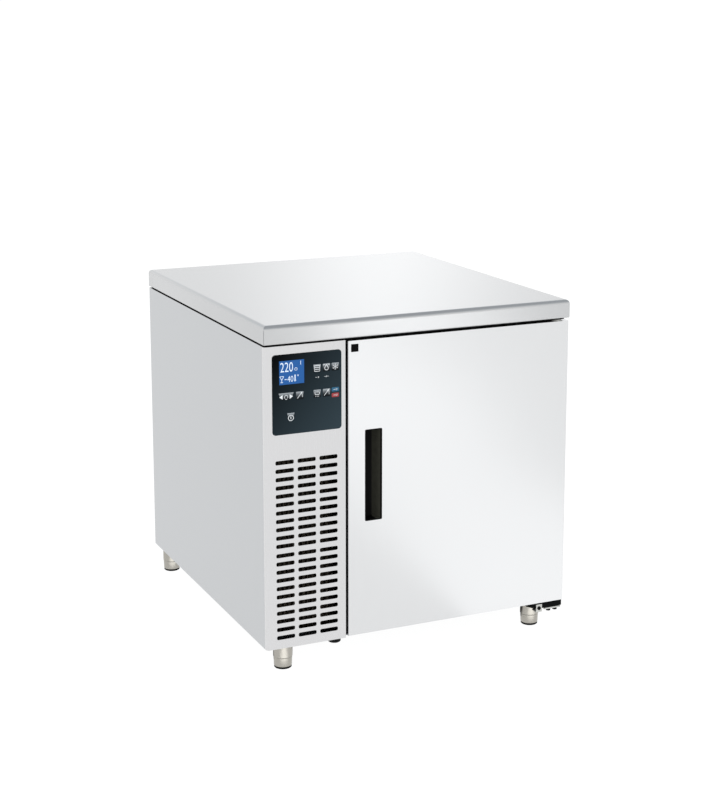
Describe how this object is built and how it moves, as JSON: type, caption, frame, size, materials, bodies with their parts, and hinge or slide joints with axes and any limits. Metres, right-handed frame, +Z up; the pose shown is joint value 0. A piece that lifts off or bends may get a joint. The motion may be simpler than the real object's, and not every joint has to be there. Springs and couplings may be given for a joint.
{
  "type": "blast chiller",
  "caption": "Worktop-height blast chiller: insulated chamber behind a right-hung door, machine compartment behind a slotted panel, folded steel worktop, adjustable legs.",
  "frame": {"origin": "centre of the footprint on the floor, under the middle of the worktop", "axes": "+X to the user's right, +Y from the door to the back, +Z up"},
  "size_m": [0.81, 0.865, 0.85],
  "materials": {
    "stainless_brushed": "satin",
    "worktop_steel": "satin",
    "stainless_plain": "satin",
    "galvanised": "satin",
    "zinc": "satin",
    "coil_aluminium": "satin",
    "copper": "satin",
    "black_paint": "satin",
    "black_plastic": "matte",
    "grey_plastic": "matte",
    "white_plastic": "matte",
    "grey_seal": "matte",
    "rubber": "matte",
    "foam": "matte",
    "core_board": "matte",
    "control_film": "satin",
    "display_glass": "gloss"
  },
  "bodies": {
    "cabinet": {"worktop_skin": "worktop_steel", "worktop_core": "core_board", "top_panel": "galvanised", "left_side_panel": "stainless_brushed", "right_side_panel": "stainless_brushed", "back_panel": "galvanised", "base_pan": "galvanised", "service_panel": "stainless_brushed", "centre_post": "black_paint", "partition_panel": "galvanised", "foam_body": "foam", "chamber_liner": "stainless_brushed", "front_frame": "grey_plastic", "control_overlay": "control_film", "control_display": "display_glass", "control_housing": "grey_plastic", "rack_left": "stainless_plain", "rack_right": "stainless_plain", "fan_deflector": "stainless_brushed", "evap_fan_guard_1": "stainless_plain", "evap_fan_guard_2": "stainless_plain", "evap_fan_motor_1": "black_paint", "evap_fan_motor_2": "black_paint", "evaporator_coil": "coil_aluminium", "evaporator_drip_tray": "stainless_plain", "drain_spout": "white_plastic", "condenser_coil": "coil_aluminium", "condenser_shroud": "galvanised", "condenser_fan_motor": "black_paint", "compressor": "black_paint", "discharge_pipe": "copper", "liquid_pipe": "copper", "filter_drier": "copper", "feed_pipe": "copper", "suction_pipe": "copper", "power_box": "grey_plastic", "mains_gland": "black_plastic", "base_plug": "rubber", "upper_hinge_arm": "black_paint", "lower_hinge_arm": "black_paint", "lower_hinge_plate": "zinc", "door_stop": "zinc", "foot_sleeve_front_left": "stainless_plain", "foot_sleeve_front_right": "stainless_plain", "foot_sleeve_rear_left": "stainless_plain", "foot_sleeve_rear_right": "stainless_plain"},
    "door": {"door_skin": "stainless_brushed", "door_foam": "foam", "door_liner": "stainless_brushed", "door_gasket": "grey_seal", "door_handle_cup": "black_plastic", "upper_hinge_bush": "white_plastic", "lower_hinge_bush": "white_plastic"},
    "evap_fan_1": {"evap_fan_rotor_1": "black_plastic"},
    "evap_fan_2": {"evap_fan_rotor_2": "black_plastic"},
    "condenser_fan": {"condenser_fan_rotor": "coil_aluminium"},
    "foot_front_left": {"foot_insert_front_left": "stainless_plain"},
    "foot_front_right": {"foot_insert_front_right": "stainless_plain"},
    "foot_rear_left": {"foot_insert_rear_left": "stainless_plain"},
    "foot_rear_right": {"foot_insert_rear_right": "stainless_plain"}
  },
  "joints": [
    {"name": "door_hinge", "type": "hinge", "parent": "cabinet", "child": "door", "pos_m": [0.38, -0.4085, 0.435], "axis": [0, 0, 1], "range_deg": [0, 110]},
    {"name": "evap_fan_1_spin", "type": "hinge", "parent": "cabinet", "child": "evap_fan_1", "pos_m": [0.10155, 0.28, 0.5804], "axis": [0, 1, 0], "continuous": true},
    {"name": "evap_fan_2_spin", "type": "hinge", "parent": "cabinet", "child": "evap_fan_2", "pos_m": [0.10155, 0.28, 0.2904], "axis": [0, 1, 0], "continuous": true},
    {"name": "condenser_fan_spin", "type": "hinge", "parent": "cabinet", "child": "condenser_fan", "pos_m": [-0.3033, -0.34, 0.3065], "axis": [0, 1, 0], "continuous": true},
    {"name": "foot_front_left_adjust", "type": "slide", "parent": "cabinet", "child": "foot_front_left", "axis": [0, 0, -1], "range_m": [0, 0.025]},
    {"name": "foot_front_right_adjust", "type": "slide", "parent": "cabinet", "child": "foot_front_right", "axis": [0, 0, -1], "range_m": [0, 0.025]},
    {"name": "foot_rear_left_adjust", "type": "slide", "parent": "cabinet", "child": "foot_rear_left", "axis": [0, 0, -1], "range_m": [0, 0.025]},
    {"name": "foot_rear_right_adjust", "type": "slide", "parent": "cabinet", "child": "foot_rear_right", "axis": [0, 0, -1], "range_m": [0, 0.025]}
  ]
}
